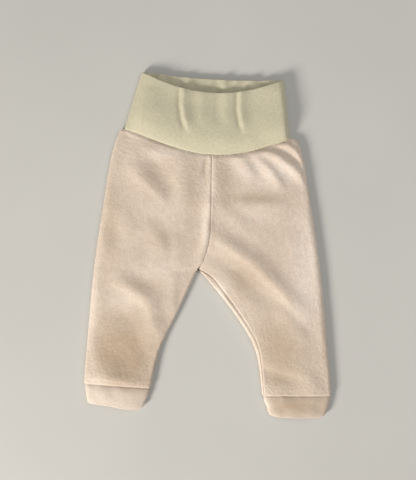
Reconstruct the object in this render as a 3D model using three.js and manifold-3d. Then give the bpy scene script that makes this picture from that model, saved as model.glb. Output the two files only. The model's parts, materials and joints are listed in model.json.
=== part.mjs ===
// Baby trousers laid flat, front side up: fleece legs, a high jersey waistband and two
// short turned cuffs. Millimetres. X runs across the garment, Y runs from the hems to the
// waist and Z stands up from the surface it lies on. The drawing origin is the crotch line
// on the garment's centre; the finished group is moved to the middle of its underside.
import * as THREE from 'three';
import { mergeVertices } from 'three/addons/utils/BufferGeometryUtils.js';
import Module from 'manifold-3d';

const wasm = await Module();
wasm.setup();

// ---- Cloth ---------------------------------------------------------------------------
const seamGap = 0.3;            // clearance between pieces that are sewn together
const legLoft = 12;             // height of the flat legs, front cloth to back cloth
const legWall = 1.6;            // fleece
const bandLoft = 11;
const bandWall = 1.8;           // two plies of jersey
const cuffLoft = 11;
const cuffWall = 2.2;           // two plies of fleece
const threadPly = 0.8;          // overlocked seam allowance
const threadWidth = 3.2;
const rimFlat = 1;              // straight middle of a rolled edge
const threadClear = 2 * seamGap; // between one run of thread and the next

// ---- Waistband, in its own frame: u along the band, v up, origin mid seam ---------------
const riseHeight = 150.2;       // crotch line to the line through both ends of the seam
const bandTilt = THREE.MathUtils.degToRad(-3.3);
const bandBottomWidth = 184;
const bandTopWidth = 158;
const bandTopShift = 2.9;       // the top edge sits a little to the right
const bandHeight = 64;          // at the sides
const frontDip = 19.5;          // how far the front top edge hangs below its corners
const backDip = 3.8;
const frontSag = 23.4;          // how far the front seam hangs below its ends
const backSag = 10;
const seamLean = 0.2;           // the seam's low point lies right of the middle
const foldHeight = 27;          // the band folds over along this line

// ---- Legs -------------------------------------------------------------------------------
const hipOverhang = 3.5;        // the legs stand out past the band's corners, each side
const highHipWidth = 208.6;
const highHipDrop = 19;         // below the seam's end line
const midRiseWidth = 228;
const crotchWidth = 250;
const kneeWidth = 266;
const kneeDrop = 88;
const crotchShift = -9.4;       // the crotch point lies left of the centre line
const crotchRadius = 3;
const seamHeadroom = 9;         // the crotch's thick seam crossing, kept clear of threads
const waistSeamReach = 0.9;     // the share of the waist seam that lies flat, between the rims

// each leg as it lies: inner edge distances from the centre, hem place and cuff
const legs = {
  left: {
    sign: -1, thighInner: 31, kneeInner: 52.4, seamInner: 62, seamOuter: 136, seamDrop: 128,
    cuffTilt: -4.2, cuffHeight: 22, cuffTaper: 4, innerRound: 8, outerRound: 3,
  },
  right: {
    sign: 1, thighInner: 27, kneeInner: 53.2, seamInner: 61, seamOuter: 137, seamDrop: 139,
    cuffTilt: 0, cuffHeight: 24.5, cuffTaper: 4, innerRound: 12, outerRound: 8,
  },
};
const cuffInset = 1;            // the cuff is narrower than the leg's end, each side

// ---- Trimming --------------------------------------------------------------------------
const overrun = 26;             // how far a raw shape runs past the seam that trims it
const reach = 40;               // sideways room of a trimming shape past the outer edge
const innerReach = 12;          // the same past the inner edge, short of the other leg
const weldDistance = 1e-4;

// ---- Solids ----------------------------------------------------------------------------
function toSolid(geometry) {
  geometry.deleteAttribute('normal');
  geometry.deleteAttribute('uv');
  const merged = mergeVertices(geometry, weldDistance);
  return new wasm.Manifold(new wasm.Mesh({
    numProp: 3,
    vertProperties: new Float32Array(merged.attributes.position.array),
    triVerts: new Uint32Array(merged.index.array),
  }));
}

// a straight block over a plan outline, between two heights
function prism(points, low, high) {
  const block = new THREE.ExtrudeGeometry(new THREE.Shape(points), {
    depth: high - low, bevelEnabled: false,
  });
  return toSolid(block.translate(0, 0, low));
}

// the outer form of two cloths lying on each other: flat faces and rolled edges
function pillow(points, loft, inset) {
  const roll = (loft - 2 * inset - rimFlat) / 2;
  const form = new THREE.ExtrudeGeometry(new THREE.Shape(points), {
    depth: rimFlat,
    bevelThickness: roll,
    bevelSize: roll,
    bevelOffset: -roll - inset,
    bevelSegments: 3,
  });
  return toSolid(form.translate(0, 0, inset + roll));
}

function shell(points, loft, outerInset, thickness) {
  return pillow(points, loft, outerInset).subtract(pillow(points, loft, outerInset + thickness));
}

// ---- Frames ----------------------------------------------------------------------------
function placed(origin, tilt, u, v) {
  return new THREE.Vector2(u, v).rotateAround(new THREE.Vector2(), tilt).add(origin);
}

const bandOrigin = new THREE.Vector2(0, riseHeight);
const bandPoint = (u, v) => placed(bandOrigin, bandTilt, u, v);

for (const leg of Object.values(legs)) {
  leg.tilt = THREE.MathUtils.degToRad(leg.cuffTilt);
  leg.origin = new THREE.Vector2(leg.sign * (leg.seamInner + leg.seamOuter) / 2, -leg.seamDrop);
  leg.halfWidth = (leg.seamOuter - leg.seamInner) / 2;
  leg.point = (u, v) => placed(leg.origin, leg.tilt, u, v);
}

// ---- Edges in plan ---------------------------------------------------------------------
const steps = (count, make) => Array.from({ length: count + 1 }, (_, i) => make(i / count));

const seamDrop = (t, sag) => sag * (1 - t * t) * (1 + seamLean * t * (1 - t));

// the waist seam from left to right, moved up by lift; its ends run past the band's corners
const seamEnd = 1.4;            // 1 is the band's own corner
function waistSeam(sag, lift, end = seamEnd) {
  return steps(20, (f) => {
    const t = end * (2 * f - 1);
    const drop = Math.abs(t) < 1 ? seamDrop(t, sag) : 0;
    return bandPoint(t * bandBottomWidth / 2, lift - drop);
  });
}

// where a left-to-right line of points crosses x
function crossing(points, x) {
  const i = points.findIndex((p) => p.x > x);
  const [a, b] = [points[i - 1], points[i]];
  return a.clone().lerp(b, (x - a.x) / (b.x - a.x));
}

function bandTop(dip) {
  return steps(18, (f) => {
    const t = 1.2 * (2 * f - 1);
    const drop = Math.abs(t) < 1 ? dip * (1 - t * t) : 0;
    return bandPoint(bandTopShift + t * bandTopWidth / 2, bandHeight - drop);
  });
}

function outerEdge(leg) {
  const s = leg.sign;
  const corner = bandPoint(s * (bandBottomWidth / 2 + hipOverhang), 0);
  const stations = [
    corner,
    new THREE.Vector2(s * highHipWidth / 2, riseHeight - highHipDrop),
    new THREE.Vector2(s * midRiseWidth / 2, riseHeight / 2),
    new THREE.Vector2(s * crotchWidth / 2, 0),
    new THREE.Vector2(s * kneeWidth / 2, -kneeDrop),
    leg.point(s * leg.halfWidth, 0),
  ];
  return [
    new THREE.Vector2(corner.x, corner.y + overrun),
    ...new THREE.SplineCurve(stations).getPoints(14),
    leg.point(s * leg.halfWidth, -overrun),
  ];
}

function innerEdge(leg) {
  const s = leg.sign;
  const stations = [
    new THREE.Vector2(crotchShift + s * crotchRadius, -crotchRadius),
    new THREE.Vector2(s * leg.thighInner, -kneeDrop / 2),
    new THREE.Vector2(s * leg.kneeInner, -kneeDrop),
    leg.point(-s * leg.halfWidth, 0),
  ];
  return [
    ...new THREE.SplineCurve(stations).getPoints(10),
    leg.point(-s * leg.halfWidth, -overrun),
  ];
}

// both legs as one outline, counter-clockwise, open past the seams
const trousers = [
  ...outerEdge(legs.left),
  ...innerEdge(legs.left).reverse(),
  new THREE.Vector2(crotchShift, -crotchRadius / 3),
  ...innerEdge(legs.right),
  ...outerEdge(legs.right).reverse(),
];

// the rise seam, from past the waist down to the crotch
const rise = new THREE.SplineCurve([
  new THREE.Vector2(4.4, riseHeight + overrun),
  new THREE.Vector2(4.2, riseHeight * 0.6),
  new THREE.Vector2(2.4, 35),
  new THREE.Vector2(-4.2, 10.4),
  new THREE.Vector2(crotchShift, 0),
  new THREE.Vector2(crotchShift, -12),
]).getPoints(16);

const band = [
  bandPoint(-bandBottomWidth / 2 - overrun * 0.2, -2 * overrun),
  bandPoint(bandBottomWidth / 2 + overrun * 0.2, -2 * overrun),
  bandPoint(bandBottomWidth / 2, 0),
  bandPoint(bandTopShift + bandTopWidth / 2, bandHeight),
  bandPoint(bandTopShift + bandTopWidth / 2 - overrun * 0.2, bandHeight + overrun),
  bandPoint(bandTopShift - bandTopWidth / 2 + overrun * 0.2, bandHeight + overrun),
  bandPoint(bandTopShift - bandTopWidth / 2, bandHeight),
  bandPoint(-bandBottomWidth / 2, 0),
];

const shifted = (points, dx) => points.map((p) => new THREE.Vector2(p.x + dx, p.y));

// ---- Leg panels ------------------------------------------------------------------------
const legMiddle = legLoft / 2;
const legShell = shell(trousers, legLoft, 0, legWall);
const legLining = shell(trousers, legLoft, legWall + seamGap, threadPly);

// the plan area of one leg, between its cuff seam and the waist seam
function legArea(leg, sag) {
  const s = leg.sign;
  const waist = waistSeam(sag, -seamGap / 2);
  const riseSide = shifted(rise, s * seamGap / 2);
  const corner = crossing(waist, riseSide[0].x);
  const top = waist.filter((p) => s * (p.x - corner.x) > 0);
  return [
    ...(s < 0 ? top : top.reverse()),
    corner,
    ...riseSide.filter((p) => p.y < corner.y),
    leg.point(-s * (leg.halfWidth + innerReach), seamGap / 2),
    leg.point(s * (leg.halfWidth + reach), seamGap / 2),
    new THREE.Vector2(s * (crotchWidth / 2 + reach), 0),
  ];
}

const fleece = { color: 0xdfcdb9, roughness: 0.95, metalness: 0 };
const jersey = { color: 0xcbc4a8, roughness: 0.85, metalness: 0 };
const thread = { color: 0xe6dac6, roughness: 0.8, metalness: 0 };

const group = new THREE.Group();
const garment = new THREE.Group();
group.add(garment);

function addPiece(name, solid, finish) {
  const mesh = solid.getMesh();
  const geometry = new THREE.BufferGeometry();
  geometry.setAttribute('position', new THREE.BufferAttribute(mesh.vertProperties, 3));
  geometry.setIndex(new THREE.BufferAttribute(mesh.triVerts, 1));
  geometry.computeVertexNormals();
  const piece = new THREE.Mesh(geometry, new THREE.MeshStandardMaterial(finish));
  piece.name = name;
  garment.add(piece);
}

for (const [side, leg] of Object.entries(legs)) {
  const front = prism(legArea(leg, frontSag), legMiddle + seamGap / 2, legLoft + 1);
  const back = prism(legArea(leg, backSag), -1, legMiddle - seamGap / 2);
  addPiece(`${side}_front_leg`, legShell.intersect(front), fleece);
  addPiece(`${side}_back_leg`, legShell.intersect(back), fleece);
}

// ---- Waistband -------------------------------------------------------------------------
const bandMiddle = bandLoft / 2;
const bandShell = shell(band, bandLoft, 0, bandWall);
const bandLining = shell(band, bandLoft, bandWall + seamGap, threadPly);
const farRight = bandBottomWidth / 2 + reach;

const bandStrip = (low, high) => [
  bandPoint(-farRight, low), bandPoint(farRight, low),
  bandPoint(farRight, high), bandPoint(-farRight, high),
];

const bandFaces = {
  front: { sag: frontSag, dip: frontDip, low: bandMiddle + seamGap / 2, high: bandLoft + 1 },
  back: { sag: backSag, dip: backDip, low: -1, high: bandMiddle - seamGap / 2 },
};
for (const [face, { sag, dip, low, high }] of Object.entries(bandFaces)) {
  const area = [...waistSeam(sag, seamGap / 2), ...bandTop(dip).reverse()];
  const whole = bandShell.intersect(prism(area, low, high));
  const lower = prism(bandStrip(-2 * overrun, foldHeight - seamGap / 2), -1, bandLoft + 1);
  const upper = prism(bandStrip(foldHeight + seamGap / 2, 2 * bandHeight), -1, bandLoft + 1);
  addPiece(`waistband_${face}_lower`, whole.intersect(lower), jersey);
  addPiece(`waistband_${face}_upper`, whole.intersect(upper), jersey);
}

// ---- Cuffs -----------------------------------------------------------------------------
function cuffArea(leg) {
  const s = leg.sign;
  const half = leg.halfWidth - cuffInset;
  const foot = half - leg.cuffTaper;
  const low = -leg.cuffHeight;
  const shape = new THREE.Shape();
  const to = (u, v) => leg.point(s * u, v);
  const curve = (c, e) => shape.quadraticCurveTo(c.x, c.y, e.x, e.y);
  const start = to(-half - 2, -seamGap / 2);
  shape.moveTo(start.x, start.y);
  for (const corner of [to(-half - 2, -1), to(-foot, low + leg.innerRound)]) {
    shape.lineTo(corner.x, corner.y);
  }
  curve(to(-foot, low), to(-foot + leg.innerRound, low));
  const heel = to(foot - leg.outerRound, low);
  shape.lineTo(heel.x, heel.y);
  curve(to(foot, low), to(foot, low + leg.outerRound));
  for (const corner of [to(half + 2, -1), to(half + 2, -seamGap / 2)]) {
    shape.lineTo(corner.x, corner.y);
  }
  return shape.getPoints(4);
}

function cuffOutline(leg) {
  const half = leg.halfWidth - cuffInset;
  const slope = leg.cuffTaper / leg.cuffHeight;
  const wide = half + slope * overrun;
  const narrow = half - slope * (leg.cuffHeight + overrun);
  return [
    leg.point(-wide, overrun), leg.point(-narrow, -leg.cuffHeight - overrun),
    leg.point(narrow, -leg.cuffHeight - overrun), leg.point(wide, overrun),
  ];
}

for (const [side, leg] of Object.entries(legs)) {
  const outline = cuffOutline(leg);
  const area = prism(cuffArea(leg), -1, cuffLoft + 1);
  addPiece(`${side}_cuff`, shell(outline, cuffLoft, 0, cuffWall).intersect(area), fleece);
}

// ---- Overlocked seam allowances, inside the cloth --------------------------------------
const threadHalf = threadWidth / 2;
const edgeRun = (middle) => [middle - threadHalf, middle + threadHalf];

// the inner or outer half of a leg, from its cuff seam's thread up to the height top
function legHalf(leg, outer, top) {
  const s = leg.sign;
  const away = outer ? 2 * reach : -2 * reach;
  const lift = threadWidth + threadClear;
  return [
    leg.point(0, lift),
    leg.point(s * away, lift),
    new THREE.Vector2(outer ? s * (kneeWidth / 2 + reach) : crotchShift, top),
    new THREE.Vector2(leg.origin.x, top),
  ];
}

for (const [side, leg] of Object.entries(legs)) {
  const ringEnd = leg.halfWidth + innerReach;
  const ringArea = [
    leg.point(-ringEnd, threadClear), leg.point(ringEnd, threadClear),
    leg.point(ringEnd, threadWidth), leg.point(-ringEnd, threadWidth),
  ];
  addPiece(`${side}_cuff_seam`, legLining.intersect(prism(ringArea, -1, legLoft + 1)), thread);

  const [low, high] = edgeRun(legMiddle);
  const inner = prism(legHalf(leg, false, -seamHeadroom), low, high);
  addPiece(`${side}_inseam`, legLining.intersect(inner), thread);
  const outer = prism(legHalf(leg, true, riseHeight - highHipDrop), low, high);
  addPiece(`${side}_side_seam`, legLining.intersect(outer), thread);

  const outline = cuffOutline(leg);
  const cuffLining = shell(outline, cuffLoft, cuffWall + seamGap, threadPly);
  const s = leg.sign;
  const closing = [
    leg.point(0, -threadClear), leg.point(-s * ringEnd, -threadClear),
    leg.point(-s * ringEnd, -leg.cuffHeight / 2), leg.point(0, -leg.cuffHeight / 2),
  ];
  const [cuffLow, cuffHigh] = edgeRun(cuffLoft / 2);
  addPiece(`${side}_cuff_inseam`, cuffLining.intersect(prism(closing, cuffLow, cuffHigh)), thread);

  for (const [part, from, to] of [
    ['lower', threadWidth, foldHeight - threadClear],
    ['upper', foldHeight + threadClear, bandHeight - bandWall],
  ]) {
    const [bandLow, bandHigh] = edgeRun(bandMiddle);
    const run = [
      bandPoint(0, from), bandPoint(s * farRight, from),
      bandPoint(s * farRight, to), bandPoint(0, to),
    ];
    const strip = bandLining.intersect(prism(run, bandLow, bandHigh));
    addPiece(`waistband_${side}_seam_${part}`, strip, thread);
  }
}

// the waist and rise seams run under the front cloth and over the back cloth
const seamFaces = {
  front: { sag: frontSag, low: legMiddle + threadHalf + threadClear, high: legLoft },
  back: { sag: backSag, low: 0, high: legMiddle - threadHalf - threadClear },
};
for (const [face, { sag, low, high }] of Object.entries(seamFaces)) {
  const along = [
    ...waistSeam(sag, -threadClear - threadWidth, waistSeamReach),
    ...waistSeam(sag, -threadClear, waistSeamReach).reverse(),
  ];
  addPiece(`waist_seam_${face}`, legLining.intersect(prism(along, low, high)), thread);

  const top = riseHeight - sag - threadWidth - 3 * threadClear;
  const run = rise.filter((p) => p.y < top && p.y > seamHeadroom);
  const line = [new THREE.Vector2(rise[1].x, top), ...run];
  const stripe = [...shifted(line, -threadHalf), ...shifted(line, threadHalf).reverse()];
  addPiece(`${face}_rise_seam`, legLining.intersect(prism(stripe, low, high)), thread);
}

// ---- Place the origin under the middle of the garment -----------------------------------
garment.updateMatrixWorld(true);
const box = new THREE.Box3().setFromObject(garment);
garment.position.set(-(box.min.x + box.max.x) / 2, -(box.min.y + box.max.y) / 2, -box.min.z);

export default group;
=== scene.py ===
# %% [markdown]
# # Baby trousers, laid flat
# These are fleece trousers for a small baby, with a high jersey waistband and a short turned
# cuff on each leg. They lie on a table, front side up, and are seen from straight above.
# A garment is made of cloth panels joined by seams, so each panel becomes one sheet of mesh.
# Modelling the whole outline as one blob would be quicker, but the seams, the rolled edges and
# the doubled cloth of the band would be lost, and they are what makes it look sewn.

# %% Load the frame
import json
import math

import bmesh
import bpy
import numpy as np
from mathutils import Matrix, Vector, noise


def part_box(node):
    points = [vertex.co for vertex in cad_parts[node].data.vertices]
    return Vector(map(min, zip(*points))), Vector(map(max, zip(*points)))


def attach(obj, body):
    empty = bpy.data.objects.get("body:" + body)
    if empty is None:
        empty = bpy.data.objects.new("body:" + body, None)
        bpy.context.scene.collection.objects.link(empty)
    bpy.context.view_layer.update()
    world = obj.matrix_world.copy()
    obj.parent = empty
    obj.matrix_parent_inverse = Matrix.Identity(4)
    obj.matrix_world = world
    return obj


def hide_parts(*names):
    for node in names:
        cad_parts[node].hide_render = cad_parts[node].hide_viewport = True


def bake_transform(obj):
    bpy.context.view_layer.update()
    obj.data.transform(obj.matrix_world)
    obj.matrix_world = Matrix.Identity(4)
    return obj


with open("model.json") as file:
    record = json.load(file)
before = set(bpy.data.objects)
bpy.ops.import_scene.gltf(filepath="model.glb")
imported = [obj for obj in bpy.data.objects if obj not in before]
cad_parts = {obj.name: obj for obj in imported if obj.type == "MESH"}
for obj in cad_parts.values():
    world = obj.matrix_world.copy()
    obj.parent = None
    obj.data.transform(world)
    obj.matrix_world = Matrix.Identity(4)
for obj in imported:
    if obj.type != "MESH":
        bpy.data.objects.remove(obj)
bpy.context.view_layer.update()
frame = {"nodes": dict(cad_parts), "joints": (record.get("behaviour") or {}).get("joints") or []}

MM = 0.001

# %% [markdown]
# ## Camera, light and floor
# The camera hangs straight over the garment. A low, broad light on the left rakes across the
# cloth, because folds in pale cloth only show when one side of each is in the light and the
# other is turned away from it. A dim sky fills the shade.

# %% Camera
VIEW_WIDTH = 457 * MM          # what the camera takes in at the height of the cloth
CAMERA_PLACE = 0.5 * MM, 5.5 * MM, 0.85
CLOTH_HEIGHT = 8 * MM

camera = bpy.data.objects.new("camera", bpy.data.cameras.new("camera"))
bpy.context.collection.objects.link(camera)
camera.location = CAMERA_PLACE
camera.data.sensor_fit = "HORIZONTAL"
camera.data.angle = 2 * math.atan(VIEW_WIDTH / 2 / (CAMERA_PLACE[2] - CLOTH_HEIGHT))
camera.data.clip_start = 0.01
bpy.context.scene.camera = camera
print("lens angle, degrees:", round(math.degrees(camera.data.angle), 1))

# %% Light
SKY_STRENGTH = 0.32


def srgb(code):
    """A hex colour as linear numbers with alpha."""
    parts = [int(code[i:i + 2], 16) / 255 for i in (1, 3, 5)]
    return [c / 12.92 if c <= 0.04045 else ((c + 0.055) / 1.055) ** 2.4 for c in parts] + [1]


def area_light(name, place, size, power, colour):
    """A round soft light at a place in metres, turned to the garment; its power is in watts."""
    light = bpy.data.lights.new(name, "AREA")
    light.shape, light.size, light.energy = "DISK", size, power
    light.color = srgb(colour)[:3]
    lamp = bpy.data.objects.new(name, light)
    bpy.context.collection.objects.link(lamp)
    lamp.location = place
    lamp.rotation_euler = Vector(place).to_track_quat("Z", "Y").to_euler()


area_light("window", (-1.62, -1.45, 1.05), 0.7, 64.0, "#FFF8EE")
area_light("ceiling", (0.7, 0.3, 1.4), 1.4, 8.0, "#FFFAF4")

world = bpy.data.worlds.new("room")
world.use_nodes = True
world.node_tree.nodes["Background"].inputs["Color"].default_value = srgb("#E6E4E0")
world.node_tree.nodes["Background"].inputs["Strength"].default_value = SKY_STRENGTH
bpy.context.scene.world = world
bpy.context.scene.view_settings.view_transform = "Standard"   # colours stay as they are set
print("lights:", [light.name for light in bpy.data.lights])

# %% Floor
FLOOR_HALF = 3.0               # metres from the middle to each side, so that no edge is in view

bm = bmesh.new()
bmesh.ops.create_grid(bm, x_segments=1, y_segments=1, size=FLOOR_HALF)
floor_mesh = bpy.data.meshes.new("floor")
bm.to_mesh(floor_mesh)
bm.free()
floor = bpy.data.objects.new("floor", floor_mesh)
bpy.context.collection.objects.link(floor)
print("floor, m:", [round(side, 1) for side in floor.dimensions[:2]])

# %% [markdown]
# ## Reading the cut of the cloth from the frame
# The CAD panels already have the right outline, so every edge of the cloth is read from them.
# Cutting a panel along a line and keeping the lowest and highest crossing gives its width there.
# The result is kept as a curve that can be asked for any place, also a little past its ends.

# %% Edges of the CAD panels
class Edge:
    """A smooth border of the cloth: gives the position across at any place along."""

    def __init__(self, places, values):
        found = np.isfinite(values)            # a cut that falls in a gap finds nothing
        self.places, self.values = np.array(places)[found], np.array(values)[found]

    def __call__(self, at):
        p, v = self.places, self.values
        k = max(2, len(p) // 12)               # past an end it goes on as its last twelfth does
        low = v[0] + (at - p[0]) * (v[k] - v[0]) / (p[k] - p[0])
        high = v[-1] + (at - p[-1]) * (v[-1] - v[-1 - k]) / (p[-1] - p[-1 - k])
        return np.where(at < p[0], low, np.where(at > p[-1], high, np.interp(at, p, v)))


def cut(nodes, places, turned):
    """The lowest and highest crossing of the named CAD nodes at each place, in millimetres.

    turned gives a point's (along, across) from its x and y; the places are along.
    """
    ends = []
    for node in nodes:
        mesh = frame["nodes"][node].data
        co = np.array([v.co for v in mesh.vertices]) / MM
        pairs = np.array([e.vertices[:] for e in mesh.edges])
        ends.append(np.stack(turned(co[:, 0], co[:, 1]), axis=-1)[pairs])
    ends = np.concatenate(ends)
    found = []
    for place in places:
        a, b = ends[:, 0], ends[:, 1]
        hit = (a[:, 0] - place) * (b[:, 0] - place) < 0
        f = (place - a[hit, 0]) / (b[hit, 0] - a[hit, 0])
        value = a[hit, 1] + f * (b[hit, 1] - a[hit, 1])
        found.append((value.min(), value.max()) if len(value) else (np.nan, np.nan))
    return np.array(found)


# %% Frames of the band and the cuffs
joints = {j["name"]: j for j in frame["joints"]}


class Plane:
    """A flat frame on the table: u runs across a piece, v runs up it."""

    def __init__(self, joint, turn):
        self.origin = np.array([*joint["pos_m"][:2], 0]) / MM
        self.u = np.array(joint["axis"], float) * turn
        self.v = np.array([-self.u[1], self.u[0], 0])

    def place(self, u, v):
        """The x and y of a point on the plane."""
        return (self.origin[0] + u * self.u[0] + v * self.v[0],
                self.origin[1] + u * self.u[1] + v * self.v[1])

    def local(self, x, y):
        """The u and v of a place on the table."""
        dx, dy = x - self.origin[0], y - self.origin[1]
        return dx * self.u[0] + dy * self.u[1], dx * self.v[0] + dy * self.v[1]


band_plane = Plane(joints["waistband_fold"], 1)
cuff_plane = {side: Plane(joints[f"{side}_cuff_turn_up"], -1) for side in ("left", "right")}
print("band turned by", round(math.degrees(math.atan2(*band_plane.u[1::-1])), 1), "degrees")

# %% Borders of the legs
PARTED = 1.0                   # the legs have parted where the gap between them is wider, mm
WAIST_DIP = 9                  # the waist seam hangs this far below its ends, mm, with some room


def leg_borders(side):
    """Outer edge, rows of the inner edge and both waist seams of one leg, in millimetres."""
    low, high = (np.array(c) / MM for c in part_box(f"{side}_front_leg"))
    outer_end, inner_end = (0, 1) if side == "left" else (1, 0)
    ys = np.linspace(low[1] + 10, high[1] - 3, 90)     # clear of the slanted ends
    rows = cut([f"{side}_front_leg"], ys, lambda x, y: (y, x))
    waist = {}
    for face in ("front", "back"):
        xs = np.linspace(rows[-1, outer_end], 0, 60)[1:-3]
        seam = cut([f"{side}_{face}_leg"], xs, lambda x, y: (x, y))[:, 1]
        order = np.argsort(xs)
        waist[face] = Edge(xs[order], seam[order])
    return {"outer": Edge(ys, rows[:, outer_end]), "inner_rows": (ys, rows[:, inner_end]),
            "waist": waist, "sign": -1 if side == "left" else 1}


legs = {side: leg_borders(side) for side in ("left", "right")}
ys, left_inner = legs["left"]["inner_rows"]
right_inner = np.interp(ys, *legs["right"]["inner_rows"])
CROTCH_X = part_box("right_front_leg")[0][0] / MM
SEAT_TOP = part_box("waistband_front_lower")[0][1] / MM
parted = (right_inner - left_inner > PARTED) & (ys < SEAT_TOP - WAIST_DIP)
CROTCH_Y = ys[np.flatnonzero(parted)[-1]]
for leg in legs.values():
    rows_y, inner = leg.pop("inner_rows")
    above, below = (rows_y > CROTCH_Y + 1) & (rows_y < SEAT_TOP - 2), rows_y < CROTCH_Y
    leg["rise"] = Edge(rows_y[above], inner[above])
    leg["inner"] = Edge(rows_y[below], inner[below])
print("crotch, mm:", round(CROTCH_X, 1), round(CROTCH_Y, 1), "seat's top:", round(SEAT_TOP, 1))

# %% [markdown]
# ## How cloth lies
# Two cloths that lie on each other make a soft pillow. At each long edge the cloth rolls over in
# a half circle, and in the middle the trapped air lifts the front cloth a little. Every piece
# here is drawn on that same shape: the distance walked round the roll says where a point is.
# Wrinkles are added as long ridges and valleys, each laid along a line. A ridge is
# steeper on one side than on the other, as real folds are.

# %% The roll at the edges
ROLL = 3.4                    # radius of the rolled edges, mm
QUARTER = math.pi / 2 * ROLL  # the cloth's way round a quarter of the roll
UNDERSIDE = 0.35              # the back cloth lies this high
MIDDLE = UNDERSIDE + ROLL     # height of the roll's middle


def smooth(t):
    t = np.clip(t, 0, 1)
    return t * t * (3 - 2 * t)


def walk(p, half):
    """Where a walk of p mm round the cloth has come to, from the outer edge's middle.

    half is the walk to the other edge's middle. Gives the distance in from the outer edge as
    (side, inset), and the height as a share: 1 on the front cloth, -1 on the back cloth.
    """
    lap = np.mod(p, 2 * half)
    back = lap > half
    lap = np.where(back, 2 * half - lap, lap)
    near = np.minimum(lap, half - lap)
    angle = np.clip(near / ROLL, 0, math.pi / 2)
    inset = np.where(near < QUARTER, ROLL * (1 - np.cos(angle)), ROLL + near - QUARTER)
    height = np.where(near < QUARTER, np.sin(angle), 1.0)
    return lap > half / 2, inset, np.where(back, -height, height)


# %% Ridges and valleys
def ridge(x, y, line, height, lit, shade):
    """A fold along a line of points: lit and shade are its widths on the two sides, mm.

    The lit side is on the right of someone who walks along the line. It rises over the first
    quarter of the line and dies away over its last third.
    """
    line = np.array(line, float)
    steps = np.linalg.norm(np.diff(line, axis=0), axis=1)
    far = np.full(x.shape, np.inf)
    side = np.zeros(x.shape)
    gone = np.zeros(x.shape)
    for i, (a, b) in enumerate(zip(line[:-1], line[1:])):
        d = (b - a) / steps[i]
        along = (x - a[0]) * d[0] + (y - a[1]) * d[1]
        t = np.clip(along, 0, steps[i])
        dx, dy = x - a[0] - t * d[0], y - a[1] - t * d[1]
        gap = np.hypot(dx, dy)
        better = gap < far
        cross = d[0] * dy - d[1] * dx
        far = np.where(better, gap, far)
        side = np.where(better, cross, side)
        gone = np.where(better, steps[:i].sum() + t, gone)
    width = np.where(side > 0, shade, lit)
    share = gone / steps.sum()
    ends = smooth(share / 0.25) * smooth((1 - share) / 0.3)
    return height * ends * np.exp(-(far / width) ** 2)


def waves(x, y, size, height, seed):
    """Gentle unevenness: soft noise with bumps of about the given size, mm."""
    return np.array([noise.noise(Vector((a / size, b / size, seed)))
                     for a, b in zip(x.ravel(), y.ravel())]).reshape(x.shape) * height


# %% [markdown]
# ### The folds of the legs
# Each line is given in millimetres from the crotch, across and up. The folds under the
# waistband come from the fullness of the hips: they start at the seam and run down and out.

# %% Leg folds
# line (across, up), height, width on the lit side, width on the shade side
LEG_FOLDS = [
    # left leg: under the waistband
    ([(-70, 140), (-44, 130), (-24, 124), (8, 121)], 0.8, 8, 6),
    ([(-80, 121), (-64, 104), (-48, 89), (-28, 70)], 2.2, 7, 13),
    ([(-62, 132), (-46, 116), (-36, 100), (-20, 76)], -1.3, 12, 8),
    ([(-17, 132), (-19, 96), (-22, 54)], 1.8, 9, 13),
    # beside the front seam
    ([(12.6, 92), (12, 58), (8, 34), (-2, 2)], 2.3, 5, 4.5),
    ([(11, 140), (12, 112), (12.5, 54)], 0.8, 3, 4),
    ([(12.5, 136), (9.5, 120), (6, 100)], -1.3, 3, 2.5),
    # outer edge
    ([(-90, 128), (-100, 70), (-108, 10), (-114, -60), (-120, -128)], 1.3, 5, 11),
    # thigh
    ([(-64, 58), (-44, 36), (-32, 10)], 1.6, 12, 9),
    ([(-26, 44), (-24, 24), (-24, 2)], 1.1, 5, 9),
    ([(-60, 12), (-36, 8), (-12, 6)], 0.9, 12, 8),
    # knee and shin
    ([(-104, -6), (-76, -17), (-56, -34), (-49, -58), (-34, -82)], 2.9, 8, 11),
    ([(-96, -32), (-70, -66), (-56, -116)], -1.7, 34, 10),
    ([(-26, 2), (-27, -24), (-30, -52)], 1.1, 7, 5),
    ([(-136, -116), (-96, -118), (-66, -124), (-46, -128)], 1.3, 4, 7),
    # right leg: beside the front seam and under the waistband
    ([(19, 136), (20, 96), (19, 50)], 1.7, 5, 11),
    ([(30, 138), (48, 122), (66, 96)], 2.0, 8, 7),
    ([(54, 134), (79, 110), (96, 86)], 2.3, 7, 5),
    ([(46, 140), (86, 126), (104, 113), (126, 86)], 3.0, 6, 5),
    ([(72, 142), (98, 129), (120, 110)], -1.3, 4, 4.5),
    ([(82, 146), (106, 133), (120, 114)], 1.6, 4, 4),
    ([(34, 74), (60, 72), (104, 74)], 1.4, 9, 7),
    ([(18, 78), (36, 62), (56, 40)], 0.8, 9, 8),
    # thigh and knee
    ([(6, 46), (28, 31), (60, 8), (86, -18), (112, -46), (126, -64)], 3.3, 6.5, 11),
    ([(0, 26), (46, -6), (72, -31), (96, -54)], -1.5, 26, 7),
    ([(84, -38), (100, -54), (124, -84)], 1.4, 9, 8),
    ([(62, -106), (92, -116), (126, -125)], -1.3, 9, 5),
    # edges
    ([(124, 110), (132, 40), (139, -30), (143, -130)], 1.6, 16, 4),
    ([(6, 6), (26, -22), (46, -50), (62, -82), (70, -130)], 0.8, 5, 16),
]


LEG_CROWN = 1.9                # the air in a leg lifts its middle this much over its edges, mm
LEG_DIP = 0.8                  # the cloth goes down this much where it meets the waistband


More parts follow.
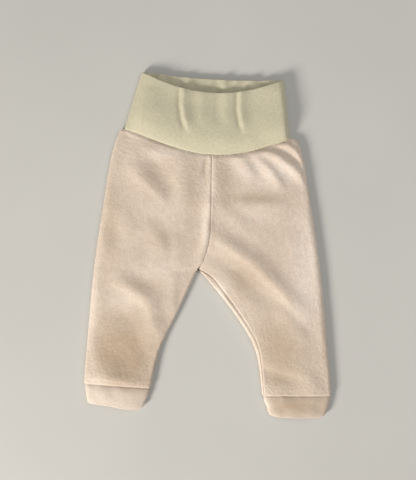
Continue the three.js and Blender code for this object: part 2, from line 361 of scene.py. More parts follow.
def leg_front(x, y, near_edge, below_waist):
    """Height of the legs' front cloth over its roll, mm."""
    cx, cy = x - CROTCH_X, y - CROTCH_Y
    lift = LEG_CROWN * smooth(near_edge / 30) - LEG_DIP * np.exp(-(below_waist / 2.2) ** 2)
    free = smooth((below_waist + 1) / 7)     # the waistband holds the cloth down at the seam
    for fold in LEG_FOLDS:
        lift += ridge(cx, cy, *fold) * smooth(near_edge / 7) * free
    return lift + waves(x, y, 26, 1.3, 3.0) * smooth(near_edge / 12) * free


def back_lift(x, y, near_edge):
    """Height of a back cloth over the table: nearly flat, with a few soft hollows."""
    return 0.5 * (1 + waves(x, y, 30, 1.0, 7.0)) * smooth(near_edge / 14)


heights = [fold[1] for fold in LEG_FOLDS]
print(len(LEG_FOLDS), "leg folds, mm high:", min(heights), "to", max(heights))


# %% [markdown]
# ### The way the pile lies, and painted light and shade
# Pile that was brushed away from the light looks darker, and lighter where it was brushed towards
# it, so a hand leaves broad soft patches on fleece. The patches here are partly that and partly
# painted light and shade: darker ones are painted shade beside folds, lighter ones are painted
# highlights along folds and edges, since the folds here are shallower than real ones. A noise
# texture could make patches anywhere, but these belong beside certain folds, so each is listed
# one by one. The value is stored on the points of the cloth, where the material reads it.

# %% Patches of pile and of painted light and shade
# middle of a patch (across, up, from the crotch), its two radii, mm, and how much lighter it is
# darker patches are painted shade beside folds and lighter ones painted highlights, on top of the
# way the pile lies
PILE_AND_PAINTED_LIGHT_PATCHES = [
    ((-84, -92), (36, 40), -1.3), ((-96, 52), (9, 46), -0.5), ((-45, 104), (17, 18), -0.3),
    ((-38, 38), (15, 13), -0.4), ((-58, -16), (22, 7), -0.45), ((-8, 80), (8, 30), -0.4),
    ((-38, 0), (26, 13), 0.4), ((-84, -32), (19, 12), 0.5), ((-30, 64), (26, 17), 0.3),
    ((-32, 129), (24, 8), 0.6), ((-112, -118), (12, 12), 0.5), ((-100, -138), (30, 14), 0.6),
    ((30, 104), (12, 24), -0.5), ((66, 80), (32, 7), -0.6), ((52, -8), (26, 20), -0.6),
    ((92, -86), (38, 34), -0.85), ((84, -120), (30, 10), -0.4), ((118, -10), (16, 70), 1.0),
    ((70, 60), (34, 12), 0.3), ((84, 108), (34, 16), 0.9), ((44, 116), (14, 12), 0.5),
    ((104, -148), (36, 10), -0.95), ((28, -20), (10, 22), 0.4), ((38, -44), (7, 12), 0.5),
    ((7, 44), (4, 26), 0.7), ((14, 96), (3, 30), 0.5), ((24, -20), (7, 12), 0.5),
    ((52, -66), (8, 14), 0.6), ((63, -92), (7, 18), 0.8), ((68, -122), (7, 18), 0.9),
    ((74, -148), (7, 12), 0.9), ((-118, -60), (7, 60), 0.6), ((-80, -146), (30, 7), 0.5),
]


def pile_and_painted_light(x, y):
    """How much lighter the pile and its painted light and shade make each point, about -1 to 1."""
    cx, cy = x - CROTCH_X, y - CROTCH_Y
    tone = np.zeros(x.shape)
    for (px, py), (rx, ry), light in PILE_AND_PAINTED_LIGHT_PATCHES:
        tone += light * np.exp(-((cx - px) / rx) ** 2 - ((cy - py) / ry) ** 2)
    return np.clip(tone, -1, 1)


print(len(PILE_AND_PAINTED_LIGHT_PATCHES), "patches,", sum(light > 0 for _, _, light in PILE_AND_PAINTED_LIGHT_PATCHES), "lighter")

# %% [markdown]
# ## Turning a walk into a sheet
# A sheet starts as a plain grid. Its columns walk across the cloth and its rows climb from the
# lower seam to the upper one. Rows crowd together near the seams, where the cloth turns in
# sharply. The grid is made by one operator, and its points are then moved like clay. A cloth
# simulation could drape the panels too, but it would choose its own folds.

# %% Sheets
LOWEST = 0.05                  # no point of the cloth lies lower over the table than this, mm


def crowded(count, crowding=0.62):
    """Shares from 0 to 1 that lie closer together at both ends."""
    t = np.linspace(0, 1, count)
    return t - crowding * np.sin(2 * math.pi * t) / (2 * math.pi)


def grid_object(name, points, spans, ply, material):
    """A sheet of cloth, ply mm thick, through an array of points in mm, rows by columns.

    spans gives each point's place in the flat cloth; the thickness goes in from the outer face.
    """
    rows, columns = points.shape[:2]
    bm = bmesh.new()
    bmesh.ops.create_grid(bm, x_segments=columns - 1, y_segments=rows - 1, size=1.0)
    bm.verts.ensure_lookup_table()
    spot = {}
    for v in bm.verts:
        c = round((v.co.x + 1) / 2 * (columns - 1))
        r = round((v.co.y + 1) / 2 * (rows - 1))
        spot[v.index] = (r, c)
        v.co = Vector(points[r, c] * MM)
    uv = bm.loops.layers.uv.new("cloth")
    for face in bm.faces:
        face.smooth = True
        for loop in face.loops:
            loop[uv].uv = spans[spot[loop.vert.index]] * MM
    for edge in bm.edges:
        edge.smooth = not edge.is_boundary     # or the cut edge's shading bleeds into the cloth
    mesh = bpy.data.meshes.new(name)
    bm.to_mesh(mesh)
    bm.free()
    # the patches' painted light and shade, with the way the pile lies, kept on the points for the
    # fleece's colour
    pile_and_painted_light_layer = mesh.attributes.new("pile_and_painted_light", "FLOAT", "POINT")     # 0 is darkest, 1 is lightest
    co = np.array([v.co for v in mesh.vertices]) / MM
    pile_and_painted_light_layer.data.foreach_set("value", (0.5 + 0.5 * pile_and_painted_light(co[:, 0], co[:, 1])).astype(np.float32))
    piece = bpy.data.objects.new(name, mesh)
    bpy.context.collection.objects.link(piece)
    mesh.materials.append(material)
    thick = piece.modifiers.new("thickness", "SOLIDIFY")
    thick.thickness, thick.offset, thick.use_even_offset = ply * MM, -1, False
    return piece


def walked(points):
    """The distance in mm along the columns and rows of a grid, for its cloth coordinates."""
    across = np.linalg.norm(np.diff(points, axis=1), axis=2)
    along = np.linalg.norm(np.diff(points, axis=0), axis=2)
    u = np.concatenate([np.zeros((points.shape[0], 1)), np.cumsum(across, axis=1)], axis=1)
    u -= u[:, u.shape[1] // 2][:, None]
    v = np.concatenate([np.zeros((1, points.shape[1])), np.cumsum(along, axis=0)], axis=0)
    return np.stack([u, v], axis=-1)


def outward(points):
    """Unit normals of a grid of points."""
    n = np.cross(np.gradient(points, axis=1), np.gradient(points, axis=0))
    n /= np.maximum(np.linalg.norm(n, axis=2, keepdims=True), 1e-9)
    for _ in range(2):                       # a little smoothing keeps crowded points in order
        wide = np.pad(n, ((1, 1), (1, 1), (0, 0)), mode="edge")
        n = (wide[2:, 1:-1] + wide[:-2, 1:-1] + wide[1:-1, 2:] + wide[1:-1, :-2] + n) / 5
    return n / np.maximum(np.linalg.norm(n, axis=2, keepdims=True), 1e-9)


def downy(points, normal):
    """Lifts and sinks a brushed surface a little, so that its outline isn't a clean line."""
    bumps = [noise.noise(Vector(p / 2.6)) * 0.26 + noise.noise(Vector(p / 7.0)) * 0.07
             for p in points.reshape(-1, 3)]
    return points + normal * np.array(bumps).reshape(points.shape[:2])[..., None]


def tuck(distance, depth, width):
    """How far the cloth turns down into a seam at some distance from it."""
    return depth * np.exp(-(distance / width) ** 2)


# %% [markdown]
# ## Legs
# Each leg is a front panel and a back panel. On the right leg the seams lie a few millimetres
# in from the edges, on the front, because the leg has rolled a little: there the back panel
# comes round the edge and shows as a narrow strip. On the left leg they lie under the edge.

# %% Where the seams lie
# how far from the edge's middle each seam lies, walked over the front cloth; minus is under it
SIDE_SEAM = {"left": -2.5, "right": -1.5}
INSEAM_LEFT = -1.5
# the right inseam: how far up from the crotch, and how far in from the end of the roll
INSEAM_RIGHT = [(-136, -100, -60, -30, -10, 0), (-2.4, -1.0, 2.0, 3.2, 4.6, 4.8)]
SEAM_DEPTH, SEAM_WIDTH = 0.9, 1.2   # how deep and how wide the groove at a seam is, mm
SEAM_MEET = 0.13               # how far each cloth is drawn out so that the two just meet


def cuff_line(side):
    """The y of the cuff seam at any x."""
    plane = cuff_plane[side]
    return lambda x: plane.origin[1] + (x - plane.origin[0]) * plane.u[1] / plane.u[0]


def inseam_at(side, y):
    """Where the inseam lies at some height: on the right leg it wanders over the front cloth."""
    if side == "left":
        return INSEAM_LEFT
    seam = np.interp(y - CROTCH_Y, INSEAM_RIGHT[0], INSEAM_RIGHT[1])
    return QUARTER + seam * smooth((CROTCH_Y + 2.5 - y) / 12)


print("right inseam at the knee, mm in:", np.round(inseam_at("right", CROTCH_Y - 60) - QUARTER, 1))

# %% Leg panels
FLEECE_PLY = 1.4
LEG_GRID = 104, 236            # columns and rows of a leg panel
LEG_ROUNDS = 14                # a point moves its borders, so its place is found in rounds


def leg_points(side, face, columns, rows):
    """Points of one leg panel before its seams are drawn in."""
    leg = legs[side]
    s = -leg["sign"]                       # the direction from the outer edge inwards
    foot, waist = cuff_line(side), leg["waist"][face]
    u, v = np.meshgrid(crowded(columns), crowded(rows))
    x = leg["outer"](CROTCH_Y) + s * 60 * u
    y = CROTCH_Y + 200 * (v - 0.5)
    for _ in range(LEG_ROUNDS):
        below = smooth((CROTCH_Y + 3 - y) / 4)  # 0 in the seat, 1 on the leg
        outer = leg["outer"](y)
        inner = (leg["rise"](y) + s * ROLL) * (1 - below) + leg["inner"](y) * below
        half = np.abs(inner - outer) - 2 * ROLL + 2 * QUARTER
        seat = QUARTER if face == "front" else -QUARTER
        under = smooth((CROTCH_Y + 2.5 - y) / 3.5)
        end = seat * (1 - under) + inseam_at(side, y) * under
        if face == "front":
            p = SIDE_SEAM[side] + u * (half - end - SIDE_SEAM[side])
        else:
            p = 2 * half + SIDE_SEAM[side] - u * (half + end + SIDE_SEAM[side])
        far, inset, height = walk(p, half)
        x = np.where(far, inner - s * inset, outer + s * inset)
        y = foot(x) + v * (waist(x) + SEAM_MEET - foot(x))
    apart = 60 * (1 - smooth((CROTCH_Y + 24 - y) / 26))   # in the seat the legs are one pillow
    near = np.minimum(np.abs(x - outer), np.abs(x - inner) + apart)
    front = MIDDLE + height * (ROLL + leg_front(x, y, near, waist(x) - y))
    back = MIDDLE + height * (ROLL - back_lift(x, y, near))
    z = np.where(height > 0, front, back)
    return np.stack([x, y, z], axis=-1)


def leg_panel(side, face):
    """Points of a leg panel with a groove along each seam and a brushed surface."""
    columns, rows = LEG_GRID
    points = leg_points(side, face, columns, rows)
    first = np.linalg.norm(points - points[:, :1], axis=2)
    last = np.linalg.norm(points - points[:, -1:], axis=2)
    foot = np.linalg.norm(points - points[:1], axis=2)
    waist = np.linalg.norm(points - points[-1:], axis=2)
    outer, inner = (first, last) if (side == "left") == (face == "front") else (last, first)
    normal = outward(points)
    faces_up = normal[rows // 2, columns // 2, 2] > 0
    flip = 1 if faces_up == (face == "front") else -1
    normal *= flip
    # the front seam and the lower inseam are pulled in less than the seam at the thigh
    seat = smooth((points[..., 1] - CROTCH_Y) / 10)
    shin = smooth((CROTCH_Y - 30 - points[..., 1]) / 60)
    depth = np.maximum(tuck(foot, SEAM_DEPTH, SEAM_WIDTH), tuck(waist, 0.4, SEAM_WIDTH))
    depth = np.maximum(depth, tuck(outer, 0.8, 1.4))
    depth = np.maximum(depth, tuck(inner, 1, 1.3) * (1.0 - 0.76 * seat - 0.82 * shin))
    points = downy(points - normal * depth[..., None], normal)
    if flip < 0:
        points = points[:, ::-1]
    points[..., 2] = np.maximum(points[..., 2], LOWEST)
    return points


# %% [markdown]
# ## Finishes
# Fleece is knitted cloth whose surface is brushed into a short dense pile. It has no gloss; the
# pile catches light at grazing angles, which the shader's sheen gives, and lies in slightly
# different directions, so its colour is mottled. Jersey is a fine knit: rows of tiny
# stitches show as soft ribs that run up the band. Overlock thread is a run of loops.

# %% Helpers for nodes
def add(tree, kind, links=(), values=(), **settings):
    """Adds a node. Links are (input, socket) pairs and values are (input, number) pairs."""
    node = tree.nodes.new(kind)
    for key, value in settings.items():
        setattr(node, key, value)
    for target, value in values:
        node.inputs[target].default_value = value
    for target, source in links:
        tree.links.new(source, node.inputs[target])
    return node


SOFT_SHINE = 0.25              # yarn reflects less than a smooth solid


def finish(name, roughness, sheen, sheen_roughness):
    """A new material with its shader's constant values set on its own sockets."""
    material = bpy.data.materials.new(name)
    material.use_nodes = True
    shader = material.node_tree.nodes["Principled BSDF"]
    shader.inputs["Roughness"].default_value = roughness
    shader.inputs["Sheen Weight"].default_value = sheen
    shader.inputs["Sheen Roughness"].default_value = sheen_roughness
    shader.inputs["Specular IOR Level"].default_value = SOFT_SHINE
    return material, material.node_tree, shader


def ramp(tree, source, low, high, colours):
    """The first colour where a pattern's value is low, the second where it is high."""
    node = add(tree, "ShaderNodeValToRGB", [("Fac", source)])
    for element, place, colour in zip(node.color_ramp.elements, (low, high), colours):
        element.position, element.color = place, srgb(colour)
    return node.outputs["Color"]


MIX_FIRST, MIX_SECOND, MIX_RESULT = 6, 7, 2    # the colour sockets of a mix node


def mix(tree, blend, factor, first, second):
    """Two colours blended into one."""
    node = add(tree, "ShaderNodeMix", [(MIX_FIRST, first), (MIX_SECOND, second)],
               data_type="RGBA", blend_type=blend)
    node.inputs["Factor"].default_value = factor
    return node.outputs[MIX_RESULT]


def bumped(tree, shader, height, strength, distance):
    """Lets a pattern raise the surface a little in the light."""
    bump = add(tree, "ShaderNodeBump", [("Height", height)],
               [("Strength", strength), ("Distance", distance)])
    tree.links.new(bump.outputs["Normal"], shader.inputs["Normal"])


def cloth_place(tree):
    """The flat cloth's own coordinates, so that a pattern stays on it when it bends."""
    return add(tree, "ShaderNodeUVMap", uv_map="cloth").outputs["UV"]


# %% Brushed fleece
PILE = 1.6 * MM       # tufts of the pile; real ones are about 0.5 mm, too fine to show
MOTTLE = 7 * MM       # patches where the pile lies another way


def brushed_fleece():
    # dry and quite without gloss: the eye sees a soft, warm, slightly grainy surface whose
    # edges are a little brighter, where the light grazes the standing pile
    material, tree, shader = finish("brushed cotton fleece, pale pink", 0.95, 0.35, 0.45)
    place = cloth_place(tree)
    tufts = add(tree, "ShaderNodeTexNoise", [("Vector", place)],
                [("Scale", 1 / PILE), ("Detail", 3)]).outputs["Fac"]
    patches = add(tree, "ShaderNodeTexNoise", [("Vector", place)],
                  [("Scale", 1 / MOTTLE), ("Detail", 2)]).outputs["Fac"]
    grain = ramp(tree, tufts, 0.33, 0.67, ["#DFCDBE", "#FBF3EA"])
    shade = ramp(tree, patches, 0.3, 0.7, ["#E9D9CB", "#F5EBE2"])
    mottled = mix(tree, "MIX", 0.5, grain, shade)
    # painted light and shade: the patches darken and lighten the fleece's colour beside its folds
    pile_and_painted_light_layer = add(tree, "ShaderNodeAttribute", attribute_name="pile_and_painted_light").outputs["Fac"]
    pile_and_painted_light_tone = ramp(tree, pile_and_painted_light_layer, 0.0, 1.0, ["#CFC4B6", "#FFFFFF"])
    colour = mix(tree, "MULTIPLY", 1.0, mottled, pile_and_painted_light_tone)
    tree.links.new(colour, shader.inputs["Base Color"])
    bumped(tree, shader, tufts, 0.5, 0.5 * MM)
    return material


# %% Ribbed jersey
RIB = 2.4 * MM        # one rib; real ones are about 1 mm, drawn coarser so that they show
YARN = 3 * MM         # length over which the yarn's tone varies
WAVE = math.tau / 20  # a wave texture's scale for bands one unit apart


def ribbed_jersey():
    # smoother and cooler than the fleece: fine upright ribs catch the light on one side, and
    # the uneven yarn keeps the cream from looking painted
    material, tree, shader = finish("fine ribbed cotton jersey, cream", 0.85, 0.15, 0.4)
    place = cloth_place(tree)
    ribs = add(tree, "ShaderNodeTexWave", [("Vector", place)],
               [("Scale", WAVE / RIB), ("Distortion", 0.4)], bands_direction="X").outputs["Fac"]
    yarn = add(tree, "ShaderNodeTexNoise", [("Vector", place)],
               [("Scale", 1 / YARN), ("Detail", 3)]).outputs["Fac"]
    tone = ramp(tree, yarn, 0.3, 0.7, ["#C6C1A8", "#D2CDB6"])
    tree.links.new(tone, shader.inputs["Base Color"])
    bumped(tree, shader, ribs, 0.15, 0.2 * MM)
    return material


# %% Overlock thread and table
LOOP = 3 * MM         # loops of the thread; real ones are about 2 mm apart
CLOUD = 1 / 6         # size of the table's faint clouds, m


def overlock_thread():
    # slightly glossier than the cloth it binds, and banded light and dark by its loops
    material, tree, shader = finish("polyester overlock thread, off-white", 0.7, 0.1, 0.4)
    loops = add(tree, "ShaderNodeTexWave", [("Vector", cloth_place(tree))],
                [("Scale", WAVE / LOOP)], bands_direction="DIAGONAL").outputs["Fac"]
    tone = ramp(tree, loops, 0.2, 0.8, ["#D8CCB8", "#F0E8DA"])
    tree.links.new(tone, shader.inputs["Base Color"])
    return material


def painted_table():
    # plain and quiet, so that the eye stays on the cloth; clouds too faint to name keep it real
    material, tree, shader = finish("matt painted table, pale grey", 0.7, 0.0, 0.5)
    place = add(tree, "ShaderNodeTexCoord").outputs["Object"]
    clouds = add(tree, "ShaderNodeTexNoise", [("Vector", place)],
                 [("Scale", 1 / CLOUD)]).outputs["Fac"]
    tone = ramp(tree, clouds, 0.3, 0.7, ["#C9CAC8", "#CDCECC"])
    tree.links.new(tone, shader.inputs["Base Color"])
    return material


FLEECE, JERSEY, THREAD = brushed_fleece(), ribbed_jersey(), overlock_thread()
floor_mesh.materials.append(painted_table())
print("materials:", [material.name for material in (FLEECE, JERSEY, THREAD)])

# %% Make the leg panels
surfaces = {}
for side in ("left", "right"):
    for face in ("front", "back"):
        points = leg_panel(side, face)
        surfaces[side, face] = points
        spans = walked(points)
        name = f"{side}_{face}_panel"
        piece = grid_object(name, points, spans, FLEECE_PLY, FLEECE)
        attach(piece, "garment")
        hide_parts(f"{side}_{face}_leg")
        wide, high = np.ptp(spans[..., 0]), np.ptp(spans[..., 1])
        print(name, "about", round(wide), "by", round(high), "mm")

# %% [markdown]
# ## Waistband
# The band is a tube of jersey as wide as the waist, sewn to the legs at its lower end. It is
# made of double cloth: the jersey runs up the outside, turns over at the top edge and runs
# down again inside. So each half is drawn as one long sheet with a small round turn at the
# top. That gives a soft, thick edge, where a single sheet would look like paper.

# %% Doubled cloth
JERSEY_PLY = 0.75
TURN = 0.95                    # radius of the turn at an edge where cloth is doubled, mm
TURN_ROWS = 7


def doubled(outer):
    """Adds the turned edge and the inner ply to a sheet's rows, whose last row is the edge."""
    normal = outward(outer)
    ahead = outer[-1] - outer[-2]
    ahead /= np.linalg.norm(ahead, axis=1, keepdims=True)
    centre = outer[-1] - normal[-1] * TURN
    angles = np.linspace(0, math.pi, TURN_ROWS + 2)[1:-1, None, None]
    turn = centre + TURN * (np.cos(angles) * normal[-1] + np.sin(angles) * ahead)
    inner = (outer - normal * 2 * TURN)[::-1]
    return np.concatenate([outer, turn, inner])


# %% [markdown]
# ### Where a fold bends
# The top of the band folds down over itself and each cuff turns up over its leg. Cloth can't
# crease to a knife edge, so it bends over some length, from the fold line to the bend's end.
# Here that length is only worked out: no points are turned, and each piece keeps its shape and
# only has its placement baked into its points. Cutting the sheet at the fold line would be
# simpler, but a gap would open there.

# %% Where a fold bends
# how far past the fold line the bend ends, mm; minus is downwards
BEND_LENGTH = {"waistband_fold": 22, "left_cuff_turn_up": -13, "right_cuff_turn_up": -13}


def bend(piece, joint):
    """Works out the fold line and the bend's end for a piece and bakes its placement into its
    points; the piece is not bent.
    """
    plane = band_plane if joint == "waistband_fold" else cuff_plane[joint.split("_")[0]]
    start, end = plane.place(0, 0), plane.place(0, BEND_LENGTH[joint])
    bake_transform(piece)


print("bends, mm long:", {name: abs(length) for name, length in BEND_LENGTH.items()})

# %% Borders of the band
band_nodes = {face: [f"waistband_{face}_{part}" for part in ("lower", "upper")]
              for face in ("front", "back")}
heights = np.linspace(-22, 30, 60)
sides = cut(band_nodes["front"] + band_nodes["back"], heights,
            lambda x, y: band_plane.local(x, y)[::-1])
band_side = [Edge(heights, sides[:, 0]), Edge(heights, sides[:, 1])]
widths = np.linspace(-68, 68, 70)
band_bottom, band_top = {}, {}
for face, nodes in band_nodes.items():
    ends = cut(nodes, widths, band_plane.local)
    band_bottom[face], band_top[face] = Edge(widths, ends[:, 0]), Edge(widths, ends[:, 1])
    print(face, "of the band, mm high at the middle:", round(float(np.ptp(ends[35])), 1))

# %% Band folds
# line (across, up, from the crotch), height, width on the lit side, width on the shade side
BAND_FOLDS = [
    ([(-19.5, 206), (-20.8, 182), (-18.4, 166), (-13, 150)], -1.7, 3.0, 2.0),
    ([(-16.4, 208), (-17.8, 182), (-15.4, 166), (-9, 148)], 2.6, 2.0, 8.0),
    ([(43.4, 206), (42.4, 178), (44.5, 162), (48, 150)], -1.6, 3.0, 2.0),
    ([(46.2, 208), (45.2, 178), (47.5, 162), (52, 147)], 2.3, 2.0, 7.5),
    ([(4.6, 204), (4.6, 156)], 0.9, 6, 6),
    ([(21, 204), (21, 156)], -0.8, 5, 5),
    ([(32, 204), (31, 156)], 0.9, 5, 6),
    ([(89, 214), (92, 178), (96, 132)], 2.2, 22, 4),
    ([(-50, 205), (-50, 165)], 0.8, 12, 12),
    ([(-62, 150), (-40, 143), (-8, 138)], 1.0, 6, 9),
    ([(18, 138), (44, 139), (72, 143)], 0.7, 5, 9),
]
BAND_ROLL = 3.3
BAND_QUARTER = math.pi / 2 * BAND_ROLL
BAND_MIDDLE = UNDERSIDE + BAND_ROLL
BAND_CROWN = 1.4               # the band's middle lies this much over its sides, mm
PUFF = 4.8                     # the full cloth over the waist seam bulges by this much more
PUFF_RISE = 21                 # it is fullest this far above the seam


def band_front(x, y, above_seam, near_side):
    """Height of the band's front cloth over its roll, mm."""
    cx, cy = x - CROTCH_X, y - CROTCH_Y
    puff = np.sin(np.clip(above_seam / PUFF_RISE, 0, 1) * math.pi / 2)
    puff *= 1 - 0.45 * smooth((above_seam - PUFF_RISE) / 36)
    lift = BAND_CROWN * smooth(near_side / 26) + PUFF * puff * smooth(near_side / 16)
    for fold in BAND_FOLDS:
        lift += ridge(cx, cy, *fold) * smooth(near_side / 8)
    return lift + waves(x, y, 26, 0.5, 5.0) * smooth(near_side / 12)


print(len(BAND_FOLDS), "band folds")

# %% Points of the band
BAND_GRID = 172, 52            # columns and rows of one ply
BAND_ROUNDS = 12
FULLER = 2.8                   # the right end rises this much faster from its side


def band_points(face, columns, rows):
    """The outer ply of the band's front or back, from the waist seam to just under its edge."""
    u, v = np.meshgrid(crowded(columns, 0.35), np.linspace(0, 1, rows) ** 1.12)
    if face == "back":
        u = 1 - u
    across, up = (u - 0.5) * 160, v * 60 - 22          # a first guess, corrected in rounds
    for _ in range(BAND_ROUNDS):
        left, right = band_side[0](up), band_side[1](up)
        half = right - left - 2 * BAND_ROLL + 2 * BAND_QUARTER
        p = u * half if face == "front" else 2 * half - u * half
        far, inset, height = walk(p, half)
        across = np.where(far, right - inset, left + inset)
        low = band_bottom[face](across) - SEAM_MEET
        high = band_top[face](across) - TURN
        up = low + v * (high - low)
    near = np.minimum(across - left, right - across)
    x, y = band_plane.place(across, up)
    above = up - low
    full = np.minimum(across - left, FULLER * (right - across))
    front = BAND_MIDDLE + height * (BAND_ROLL + band_front(x, y, above, full))
    pleats = (3.0 + waves(across, 0 * up, 10, 2.0, 4.0)) * smooth((up - 12) / 16)
    back = BAND_MIDDLE + height * (BAND_ROLL - back_lift(x, y, near) - pleats * smooth(near / 10))
    z = np.where(height >= 0 if face == "front" else height > 0, front, back)
    return np.stack([x, y, z], axis=-1), above, near


# %% Make the waistband
def band_piece(face):
    """The front or back of the band, grooved at its seams and doubled at its top edge."""
    points, above, near = band_points(face, *BAND_GRID)
    depth = np.maximum(tuck(above, 0.6, 1.0), tuck(near, 0.5, 0.8))
    points = points - outward(points) * depth[..., None]
    cloth = doubled(points)
    cloth[..., 2] = np.maximum(cloth[..., 2], LOWEST)
    surfaces["band", face] = points
    piece = grid_object(f"waistband_{face}", cloth, walked(cloth), JERSEY_PLY, JERSEY)
    lower, upper = band_nodes[face]
    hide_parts(lower, upper)
    bend(piece, "waistband_fold")
    print(piece.name, "rises to", round(float(cloth[..., 2].max()), 1), "mm")


for face in ("front", "back"):
    band_piece(face)

# %% [markdown]
# ## Cuffs
# A cuff is a short tube of double fleece. Its cloth is turned up inside itself, so its lower
# edge is a soft round fold and not a cut edge. One sheet goes right round and is closed by a
# seam at the inside of the leg.

# %% Borders of the cuffs
def cuff_borders(side):
    """Both sides of a cuff by how far down it they are, 0 to 1, and its lower edge."""
    plane = cuff_plane[side]
    low, high = (plane.local(*np.array(corner[:2]) / MM)[0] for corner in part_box(f"{side}_cuff"))
    widths = np.linspace(low + (high - low) * 0.3, low + (high - low) * 0.75, 30)
    edge = np.polyfit(widths, cut([f"{side}_cuff"], widths, plane.local)[:, 0], 1)

    def share_down(x, y):
        u, v = plane.local(x, y)
        return v / np.polyval(edge, u), u

    shares = np.linspace(0.03, 0.992, 60)
    sides = cut([f"{side}_cuff"], shares, share_down)
    return shares, sides, edge


# %% Points of the cuffs
CUFF_GRID = 112, 26            # columns and rows of the outer ply
CUFF_ROLL = 3.2
CUFF_QUARTER = math.pi / 2 * CUFF_ROLL
CUFF_MIDDLE = UNDERSIDE + CUFF_ROLL
CUFF_PLY = 0.85
CUFF_CROWN, CUFF_PUFF = 1.7, 0.8       # how much its middle and its lower part are lifted, mm
CUFF_SAG = {"left": 3.4, "right": 0}   # its lower edge hangs this much lower at one end, mm
SAG_MIDDLE, SAG_REACH = 0.82, 0.3      # where across the cuff it hangs, as shares of its width


def cuff_points(side, columns, rows):
    """The outer ply of a cuff, all the way round, from the seam down to just above its edge."""
    plane = cuff_plane[side]
    shares, sides, edge = cuff_borders(side)
    u, v = np.meshgrid(crowded(columns), np.linspace(0, 1, rows))
    lo, hi = np.interp(v, shares, sides[:, 0]), np.interp(v, shares, sides[:, 1])
    half = hi - lo - 2 * CUFF_ROLL + 2 * CUFF_QUARTER
    closing = half - (INSEAM_LEFT if side == "left" else QUARTER + INSEAM_RIGHT[1][0])
    far, inset, height = walk(closing + 2 * half * u, half)
    from_left = far if side == "right" else ~far
    across = np.where(from_left, lo + inset, hi - inset)
    near = np.minimum(across - lo, hi - across)
    up = v * (np.polyval(edge, across) + TURN)
    share = (across - lo) / (hi - lo)
    up = up - v * CUFF_SAG[side] * np.exp(-((share - SAG_MIDDLE) / SAG_REACH) ** 2)
    x, y = plane.place(across, up)
    lift = CUFF_CROWN * smooth(near / 22) + CUFF_PUFF * smooth(-up / 7) * smooth(near / 8)
    lift += waves(x, y, 13, 0.7, 2.0) * smooth(near / 8)
    front = CUFF_MIDDLE + height * (CUFF_ROLL + lift)
    back = CUFF_MIDDLE + height * (CUFF_ROLL - back_lift(x, y, near))
    z = np.where(height > 0, front, back)
    return np.stack([x, y, z], axis=-1), -up, np.minimum(u, 1 - u) * 2 * half


# %% Make the cuffs
def cuff_piece(side):
    """A whole cuff, grooved at its seams and doubled at its lower edge."""
    points, below, seam = cuff_points(side, *CUFF_GRID)
    normal = outward(points)
    middle = points.shape[0] // 2
    front = np.argmax(points[middle, :, 2])
    if normal[middle, front, 2] < 0:           # the grid runs the wrong way round
        points, below, seam = points[:, ::-1], below[:, ::-1], seam[:, ::-1]
        normal = -normal[:, ::-1]
    depth = np.maximum(tuck(below, SEAM_DEPTH, SEAM_WIDTH), tuck(seam, 0.25, SEAM_WIDTH))
    points = points - normal * depth[..., None]
    cloth = doubled(points)
    cloth[..., 2] = np.maximum(cloth[..., 2], LOWEST)
    surfaces[side, "cuff"] = points
    piece = grid_object(f"{side}_cuff_sheet", cloth, walked(cloth), CUFF_PLY, FLEECE)
    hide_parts(f"{side}_cuff")
    bend(piece, f"{side}_cuff_turn_up")
    print(piece.name, "rises to", round(float(cloth[..., 2].max()), 1), "mm")


for side in ("left", "right"):
    cuff_piece(side)

# %% [markdown]
# ## Seam allowances
# Inside every seam the two raw edges are bound together by overlock thread. Each is a narrow
# strip that lies under its seam and follows it, so its middle line is read from the border of
# a panel that is already there. A strip is made like the panels, only five points wide.

# %% A strip under a seam
STRIP = 3.0                    # width of an overlocked allowance, mm
STRIP_PLY = 0.6
STRIP_LOWEST = 1.2             # it stays above the back cloth
STITCH_RISE = 0.12             # the loops of thread make its surface uneven by this much
STITCH_TURN = 2.1              # radians of that wave from one row of points to the next


def strip(name, sheet, border, depth, nodes, keep=slice(3, -3), above=None, below=None):
    """A ribbon that lies depth mm inside one border of a sheet, clear of its corners.

    keep is the part of the border that it follows; above and below limit it by height instead.
    """
    normal = outward(sheet)
    if border == "first row":
        line, n, across = sheet[0], normal[0], sheet[3] - sheet[0]
    elif border == "first column":
        line, n, across = sheet[:, 0], normal[:, 0], sheet[:, 3] - sheet[:, 0]
    else:
        line, n, across = sheet[:, -1], normal[:, -1], sheet[:, -4] - sheet[:, -1]
    if above is not None:
        keep = line[:, 1] > above
    if below is not None:
        keep = line[:, 1] < below
    line, n, across = line[keep], n[keep], across[keep]
    across = across / np.linalg.norm(across, axis=1, keepdims=True)
    middle = line - n * (depth + STITCH_RISE * np.sin(np.arange(len(line)) * STITCH_TURN)[:, None])
    shares = np.linspace(-0.5, 0.5, 5)[:, None, None]
    points = middle + shares * STRIP * across
    points[..., 2] = np.maximum(points[..., 2], STRIP_LOWEST)
    piece = grid_object(name, points, walked(points), STRIP_PLY, THREAD)
    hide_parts(*nodes)
    print(name, round(float(np.linalg.norm(np.diff(middle, axis=0), axis=1).sum())), "mm long")
    return piece


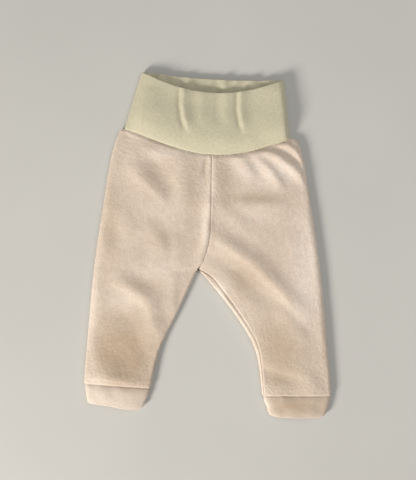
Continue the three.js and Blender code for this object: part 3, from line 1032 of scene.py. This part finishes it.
# %% Strips of the legs
LEG_DEPTH = FLEECE_PLY + 0.9   # under the leg's one ply; the other depths are under two plies
for side in ("left", "right"):
    front = surfaces[side, "front"]
    columns = ("first column", "last column")
    outer_border, inner_border = columns if side == "left" else columns[::-1]
    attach(strip(f"{side}_side_allowance", front, outer_border, LEG_DEPTH,
                  [f"{side}_side_seam"]), "garment")
    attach(strip(f"{side}_leg_allowance", front, inner_border, LEG_DEPTH,
                  [f"{side}_inseam"], below=CROTCH_Y - 6), "garment")
    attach(strip(f"{side}_cuff_allowance", surfaces[side, "cuff"], "first row",
                  2 * TURN + 0.5, [f"{side}_cuff_seam"], slice(6, -6)), "garment")
    bend(strip(f"{side}_cuff_closing", surfaces[side, "cuff"], "first column",
               2 * TURN + 0.4, [f"{side}_cuff_inseam"], slice(5, -5)), f"{side}_cuff_turn_up")

# %% Strips of the front seam and the waistband
for face in ("front", "back"):
    sheet = surfaces["left", face]
    border = "last column" if sheet[-1, -1, 0] > sheet[-1, 0, 0] else "first column"
    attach(strip(f"{face}_rise_allowance", sheet, border, LEG_DEPTH,
                  [f"{face}_rise_seam"], above=CROTCH_Y + 8), "garment")
    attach(strip(f"{face}_waist_allowance", surfaces["band", face], "first row",
                  2 * TURN + 0.4, [f"waist_seam_{face}"], slice(6, -6)), "garment")
for side, border in (("left", "first column"), ("right", "last column")):
    bend(strip(f"waistband_{side}_allowance", surfaces["band", "front"], border,
               2 * TURN + 0.3, [f"waistband_{side}_seam_lower", f"waistband_{side}_seam_upper"],
               slice(5, -5)), "waistband_fold")

# %% [markdown]
# ## The flat cut
# The size that each sheet was cut to is listed here and only printed. The legs are cut as two
# fronts and two backs, the band as two pieces and each cuff as one, folded double along its
# edge. There is no pattern to read them from, so the sizes are the modelled cloth's own, with its
# allowances.

FLAT = {                       # width and length in mm, and area in square centimetres
    "front": (138, 300, 296), "back": (146, 314, 306), "band": (186, 142, 245),
    "cuff": (152, 54, 74),
}


print("cloth in the garment, square cm:", 2 * sum(area for _, _, area in FLAT.values()))
